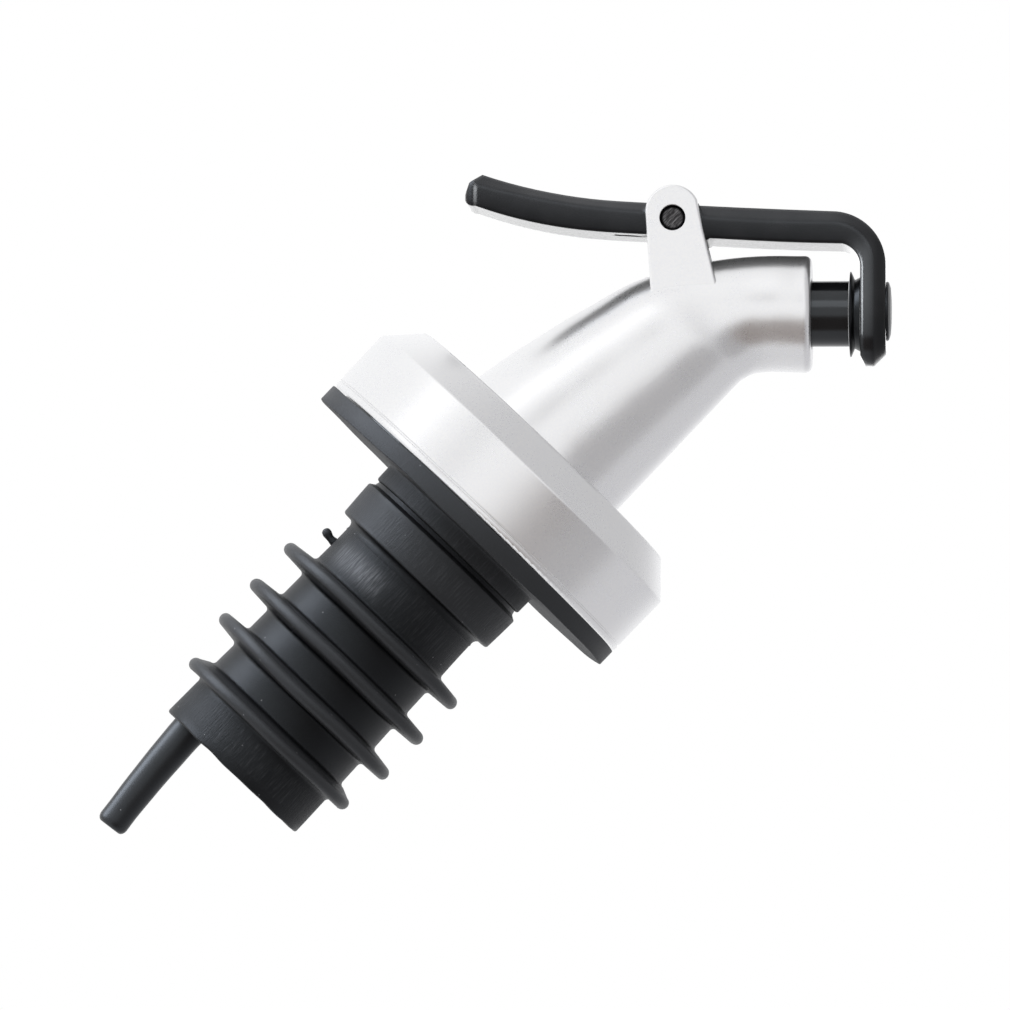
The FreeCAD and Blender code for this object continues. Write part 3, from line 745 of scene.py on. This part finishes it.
def world():
    """White to the camera; to the object, a bright tent with softer and darker patches."""
    strength, tent = 1.08, (0.985, 0.99, 1.0, 1)
    # Each patch: its direction, the cosines where it starts and where it is full, its colour
    patches = [
        (seen_from_camera(0.06, -0.58, 0.80), 0.82, 0.94, (0.23, 0.195, 0.18, 1)),
        (seen_from_camera(0.56, -0.56, 0.61), 0.78, 0.93, (0.40, 0.395, 0.405, 1)),
        (seen_from_camera(0.70, -0.70, 0.00), 0.20, 0.85, (0.62, 0.62, 0.64, 1)),
        (Vector((0.30, 0.10, 0.95)).normalized(), 0.30, 0.90, (0.55, 0.55, 0.56, 1)),
        (seen_from_camera(-0.25, 0.52, 0.81), 0.978, 0.997, (0.55, 0.55, 0.56, 1)),
    ]
    made = bpy.data.worlds.new("studio")
    bpy.context.scene.world = made
    made.use_nodes = True
    tree = made.node_tree
    tree.nodes.clear()
    link = tree.links.new
    ray = tree.nodes.new("ShaderNodeTexCoord").outputs["Generated"]
    colour = None
    for direction, start, full, tint in patches:
        dot = tree.nodes.new("ShaderNodeVectorMath")
        dot.operation = "DOT_PRODUCT"
        dot.inputs[1].default_value = direction
        link(ray, dot.inputs[0])
        fade = tree.nodes.new("ShaderNodeMapRange")
        fade.interpolation_type = "SMOOTHSTEP"
        for index, value in enumerate((start, full, 0.0, 1.0)):
            fade.inputs[index + 1].default_value = value
        link(dot.outputs["Value"], fade.inputs[0])
        mix = tree.nodes.new("ShaderNodeMix")
        mix.data_type = "RGBA"
        mix.blend_type = "DARKEN"
        link(fade.outputs[0], mix.inputs[0])
        if colour is None:
            mix.inputs[6].default_value = tent
        else:
            link(colour, mix.inputs[6])
        mix.inputs[7].default_value = tint
        colour = mix.outputs[2]
    lit = tree.nodes.new("ShaderNodeBackground")
    link(colour, lit.inputs[0])
    lit.inputs[1].default_value = strength
    seen = tree.nodes.new("ShaderNodeBackground")
    seen.inputs[0].default_value = (1, 1, 1, 1)
    which = tree.nodes.new("ShaderNodeLightPath")
    both = tree.nodes.new("ShaderNodeMixShader")
    out = tree.nodes.new("ShaderNodeOutputWorld")
    link(which.outputs["Is Camera Ray"], both.inputs[0])
    link(lit.outputs[0], both.inputs[1])
    link(seen.outputs[0], both.inputs[2])
    link(both.outputs[0], out.inputs[0])


def floor():
    """Pale floor just under the object: one-sided, and plain white where seen edge-on."""
    m = Nodes("floor_paint")
    m.look(Base_Color=(0.90, 0.90, 0.90, 1), Roughness=0.8, Emission_Color=(1, 1, 1, 1),
           Emission_Strength=0.30)
    geometry = m.add("ShaderNodeNewGeometry")
    facing = m.add("ShaderNodeVectorMath", operation="DOT_PRODUCT")
    m.set(facing, i0=geometry.outputs["Incoming"], i1=(0, 0, 1))
    steep = m.ramp(facing.outputs["Value"], 0.04, 0.14)
    glow = m.add("ShaderNodeEmission")
    edge_on = m.set(m.add("ShaderNodeMixShader"), i0=steep, i1=glow.outputs[0],
                    i2=m.surface.outputs[0])
    clear = m.add("ShaderNodeBsdfTransparent")
    both = m.set(m.add("ShaderNodeMixShader"), i0=geometry.outputs["Backfacing"],
                 i1=edge_on.outputs[0], i2=clear.outputs[0])
    out = next(n for n in m.tree.nodes if n.type == "OUTPUT_MATERIAL")
    m.tree.links.new(both.outputs[0], out.inputs[0])
    gap, half, steps = 2 * MM, 6.0, 8
    z = cad_low.z - gap
    verts = [(half * (2 * i / steps - 1), half * (2 * j / steps - 1), z)
             for j in range(steps + 1) for i in range(steps + 1)]
    row = steps + 1
    faces = [(j * row + i, j * row + i + 1, (j + 1) * row + i + 1, (j + 1) * row + i)
             for j in range(steps) for i in range(steps)]
    data = bpy.data.meshes.new("floor")
    data.from_pydata(verts, [], faces)
    data.materials.append(m.material)
    obj = bpy.data.objects.new("floor", data)
    # Hidden from the object, so that the white surround lights it from below too
    obj.visible_glossy = False
    obj.visible_diffuse = False
    bpy.context.scene.collection.objects.link(obj)
    obj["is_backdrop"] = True


def softbox(name, direction, along, size, watts, only=None, colour=(1, 1, 1)):
    """Soft rectangular light, aimed at the object.

    Its second side runs along a direction. It lights everything, or only one collection.
    """
    distance = 0.55
    light = bpy.data.lights.new(name, "AREA")
    light.shape = "RECTANGLE"
    light.size, light.size_y = size
    light.energy = watts
    light.color = colour
    obj = bpy.data.objects.new(name, light)
    bpy.context.scene.collection.objects.link(obj)
    centre = (cad_low + cad_high) / 2
    away = Vector(direction).normalized()
    second = (along - away * along.dot(away)).normalized()
    turn = Matrix((second.cross(away), second, away)).transposed().to_4x4()
    obj.matrix_world = Matrix.Translation(centre + away * distance) @ turn
    obj.visible_camera = False
    if only:
        obj.light_linking.receiver_collection = only


def black_pieces():
    """Collection of the rubber and black plastic pieces."""
    group = bpy.data.collections.new("black_pieces")
    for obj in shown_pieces():
        if obj.data.materials and obj.data.materials[0].get("tone") == "black":
            group.objects.link(obj)
    return group


def camera():
    """Long lens at the object's side, rolled so that the stopper leans to the lower left."""
    data = bpy.data.cameras.new("camera")
    data.lens, data.sensor_width = 349.7, 36.0
    data.clip_start, data.clip_end = 0.01, 20
    distance = 1.0
    obj = bpy.data.objects.new("camera", data)
    bpy.context.scene.collection.objects.link(obj)
    turn = Matrix((VIEW_RIGHT, VIEW_UP, VIEW_BACK)).transposed().to_4x4()
    aim = Vector((1.36, 0, 5.05)) * MM
    obj.matrix_world = Matrix.Translation(aim + VIEW_BACK * distance) @ turn
    bpy.context.scene.camera = obj


def lights():
    """A weak key on everything; the others only light the black pieces, or the lever alone."""
    blacks = black_pieces()
    lever = bpy.data.collections.new("lever_alone")
    lever.objects.link(frame["nodes"]["lever"])
    softbox("key", (-0.86, -0.50, 0.08), STEM, size=(0.22, 0.60), watts=0.12)
    softbox("black_key", (-0.98, -0.15, 0.05), STEM, size=(0.34, 0.70), watts=5.0,
            only=blacks, colour=(0.86, 0.91, 1.0))
    softbox("black_strip", seen_from_camera(-0.05, 0.60, 0.80), VIEW_RIGHT, size=(0.22, 0.9),
            watts=0.9, only=blacks, colour=(0.94, 0.97, 1.0))
    softbox("lever_edge", seen_from_camera(-0.60, 0.20, 0.77), VIEW_UP, size=(0.24, 0.22),
            watts=2.0, only=lever)
    softbox("lever_back", seen_from_camera(0.0, -0.25, -0.97), VIEW_RIGHT, size=(0.5, 0.9),
            watts=1.6, only=lever)


world()
floor()
lights()
camera()
bpy.context.scene.view_settings.view_transform = "Standard"
